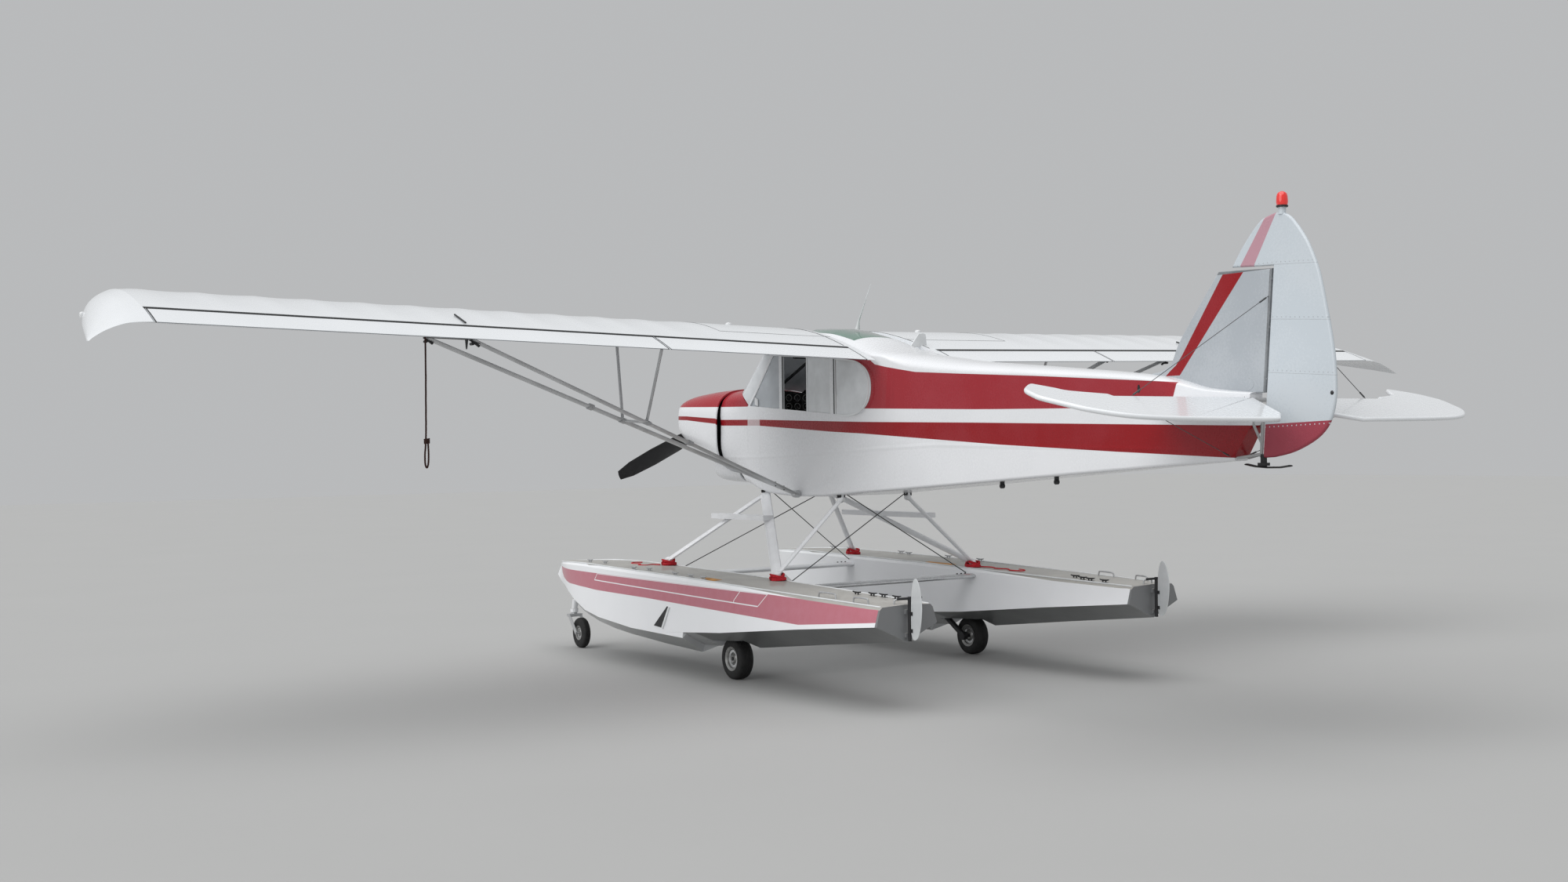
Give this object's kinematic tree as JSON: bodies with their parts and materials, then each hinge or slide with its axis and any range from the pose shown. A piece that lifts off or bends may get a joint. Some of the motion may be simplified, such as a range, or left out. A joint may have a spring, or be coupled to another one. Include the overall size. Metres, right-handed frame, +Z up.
{
  "type": "floatplane",
  "caption": "High-wing two-seat floatplane with strut-braced wings, amphibious floats with wheels, hollow cabin, doors and moving control surfaces.",
  "frame": {"origin": "on the ground at the middle of the overall length and width, under the wheels", "axes": "+X to port, -Y ahead along the fuselage, +Z up"},
  "size_m": [11.15, 7.97, 3.16],
  "materials": {
    "white_paint": "gloss",
    "float_metal": "satin",
    "strut_metal": "satin",
    "tail_tube": "satin",
    "dark_metal": "satin",
    "blade_black": "matte",
    "tyre_rubber": "matte",
    "clear_glass": "gloss",
    "green_glass": "gloss",
    "seat_fabric": "matte",
    "tie_rope": "matte",
    "red_lens": "gloss",
    "white_plastic": "gloss"
  },
  "bodies": {
    "airframe": {"cabin": "white_paint", "tail_cone": "white_paint", "engine_cowl": "white_paint", "fin": "white_paint", "wing_port": "white_paint", "wing_starboard": "white_paint", "stabilizer_port": "white_paint", "stabilizer_starboard": "white_paint", "float_port": "float_metal", "float_starboard": "float_metal", "float_struts_port": "float_metal", "float_struts_starboard": "float_metal", "lift_struts_port": "strut_metal", "lift_struts_starboard": "strut_metal", "main_leg_port": "strut_metal", "main_leg_starboard": "strut_metal", "quarter_window_port": "clear_glass", "quarter_window_starboard": "clear_glass", "rear_window_port": "clear_glass", "rear_window_starboard": "clear_glass", "sliding_window": "clear_glass", "windshield": "clear_glass", "skylight": "green_glass", "instrument_panel": "dark_metal", "front_seat": "seat_fabric", "rear_seat": "seat_fabric", "engine": "dark_metal", "tail_truss": "tail_tube", "antenna": "white_plastic", "spreader_front": "float_metal", "spreader_rear": "float_metal", "stays_front": "dark_metal", "stays_rear": "dark_metal", "tie_down_rope": "tie_rope"},
    "propeller": {"propeller": "blade_black"},
    "rudder": {"rudder": "white_paint", "beacon": "red_lens"},
    "elevator": {"elevator_port": "white_paint", "elevator_starboard": "white_paint", "elevator_tube": "tail_tube"},
    "door_upper": {"door_upper": "white_paint", "door_window": "clear_glass"},
    "door_lower": {"door_lower": "white_paint"},
    "flap_port": {"flap_port": "white_paint"},
    "aileron_port": {"aileron_port": "white_paint"},
    "main_wheel_port": {"main_wheel_port": "tyre_rubber"},
    "bow_wheel_port": {"bow_wheel_port": "tyre_rubber"},
    "bow_fork_port": {"bow_fork_port": "strut_metal"},
    "water_rudder_port": {"water_rudder_port": "float_metal"},
    "flap_starboard": {"flap_starboard": "white_paint"},
    "aileron_starboard": {"aileron_starboard": "white_paint"},
    "main_wheel_starboard": {"main_wheel_starboard": "tyre_rubber"},
    "bow_wheel_starboard": {"bow_wheel_starboard": "tyre_rubber"},
    "bow_fork_starboard": {"bow_fork_starboard": "strut_metal"},
    "water_rudder_starboard": {"water_rudder_starboard": "float_metal"}
  },
  "joints": [
    {"name": "propeller_spin", "type": "hinge", "parent": "airframe", "child": "propeller", "pos_m": [0, -3.0105, 1.955], "axis": [0, 1, 0], "continuous": true},
    {"name": "rudder_turn", "type": "hinge", "parent": "airframe", "child": "rudder", "pos_m": [0, 3.4875, 1.91], "axis": [0, 0.0887, 0.9961], "range_deg": [-25, 25]},
    {"name": "elevator_turn", "type": "hinge", "parent": "airframe", "child": "elevator", "pos_m": [0, 3.4195, 1.96], "axis": [1, 0, 0], "range_deg": [0, 40]},
    {"name": "door_upper_hinge", "type": "hinge", "parent": "airframe", "child": "door_upper", "pos_m": [-0.351, -1.0025, 2.416], "axis": [0, 0.9972, -0.0748], "range_deg": [0, 80]},
    {"name": "door_lower_hinge", "type": "hinge", "parent": "airframe", "child": "door_lower", "pos_m": [-0.351, -1.0025, 1.432], "axis": [0, -1, 0], "range_deg": [0, 60]},
    {"name": "bow_caster_port", "type": "hinge", "parent": "airframe", "child": "bow_fork_port", "pos_m": [1.093, -3.6525, 0.3], "axis": [0, 0, 1], "range_deg": [-45, 45]},
    {"name": "bow_wheel_spin_port", "type": "hinge", "parent": "bow_fork_port", "child": "bow_wheel_port", "pos_m": [1.093, -3.5105, 0.13], "axis": [1, 0, 0], "continuous": true},
    {"name": "main_wheel_spin_port", "type": "hinge", "parent": "airframe", "child": "main_wheel_port", "pos_m": [1.105, -0.7925, 0.155], "axis": [1, 0, 0], "continuous": true},
    {"name": "aileron_turn_port", "type": "hinge", "parent": "airframe", "child": "aileron_port", "pos_m": [3.6, -0.2805, 2.48021], "axis": [0.9998, 0, 0.0222], "range_deg": [-15, 20]},
    {"name": "flap_turn_port", "type": "hinge", "parent": "airframe", "child": "flap_port", "pos_m": [1.2, -0.2805, 2.42687], "axis": [-0.9998, 0, -0.0222], "range_deg": [0, 50]},
    {"name": "water_rudder_turn_port", "type": "hinge", "parent": "airframe", "child": "water_rudder_port", "pos_m": [1.093, 1.3935, 0.6], "axis": [0, 0, 1], "range_deg": [-25, 25]},
    {"name": "bow_caster_starboard", "type": "hinge", "parent": "airframe", "child": "bow_fork_starboard", "pos_m": [-1.093, -3.6525, 0.3], "axis": [0, 0, 1], "range_deg": [-45, 45]},
    {"name": "bow_wheel_spin_starboard", "type": "hinge", "parent": "bow_fork_starboard", "child": "bow_wheel_starboard", "pos_m": [-1.093, -3.5105, 0.13], "axis": [1, 0, 0], "continuous": true},
    {"name": "main_wheel_spin_starboard", "type": "hinge", "parent": "airframe", "child": "main_wheel_starboard", "pos_m": [-1.105, -0.7925, 0.155], "axis": [1, 0, 0], "continuous": true},
    {"name": "aileron_turn_starboard", "type": "hinge", "parent": "airframe", "child": "aileron_starboard", "pos_m": [-3.6, -0.2805, 2.48021], "axis": [0.9998, 0, -0.0222], "range_deg": [-20, 15]},
    {"name": "flap_turn_starboard", "type": "hinge", "parent": "airframe", "child": "flap_starboard", "pos_m": [-1.2, -0.2805, 2.42687], "axis": [-0.9998, 0, 0.0222], "range_deg": [0, 50]},
    {"name": "water_rudder_turn_starboard", "type": "hinge", "parent": "airframe", "child": "water_rudder_starboard", "pos_m": [-1.093, 1.3935, 0.6], "axis": [0, 0, 1], "range_deg": [-25, 25]}
  ],
  "couplings": [
    {"joint": "aileron_turn_starboard", "follows": "aileron_turn_port", "ratio": -1},
    {"joint": "flap_turn_starboard", "follows": "flap_turn_port", "ratio": 1},
    {"joint": "water_rudder_turn_starboard", "follows": "water_rudder_turn_port", "ratio": 1}
  ]
}
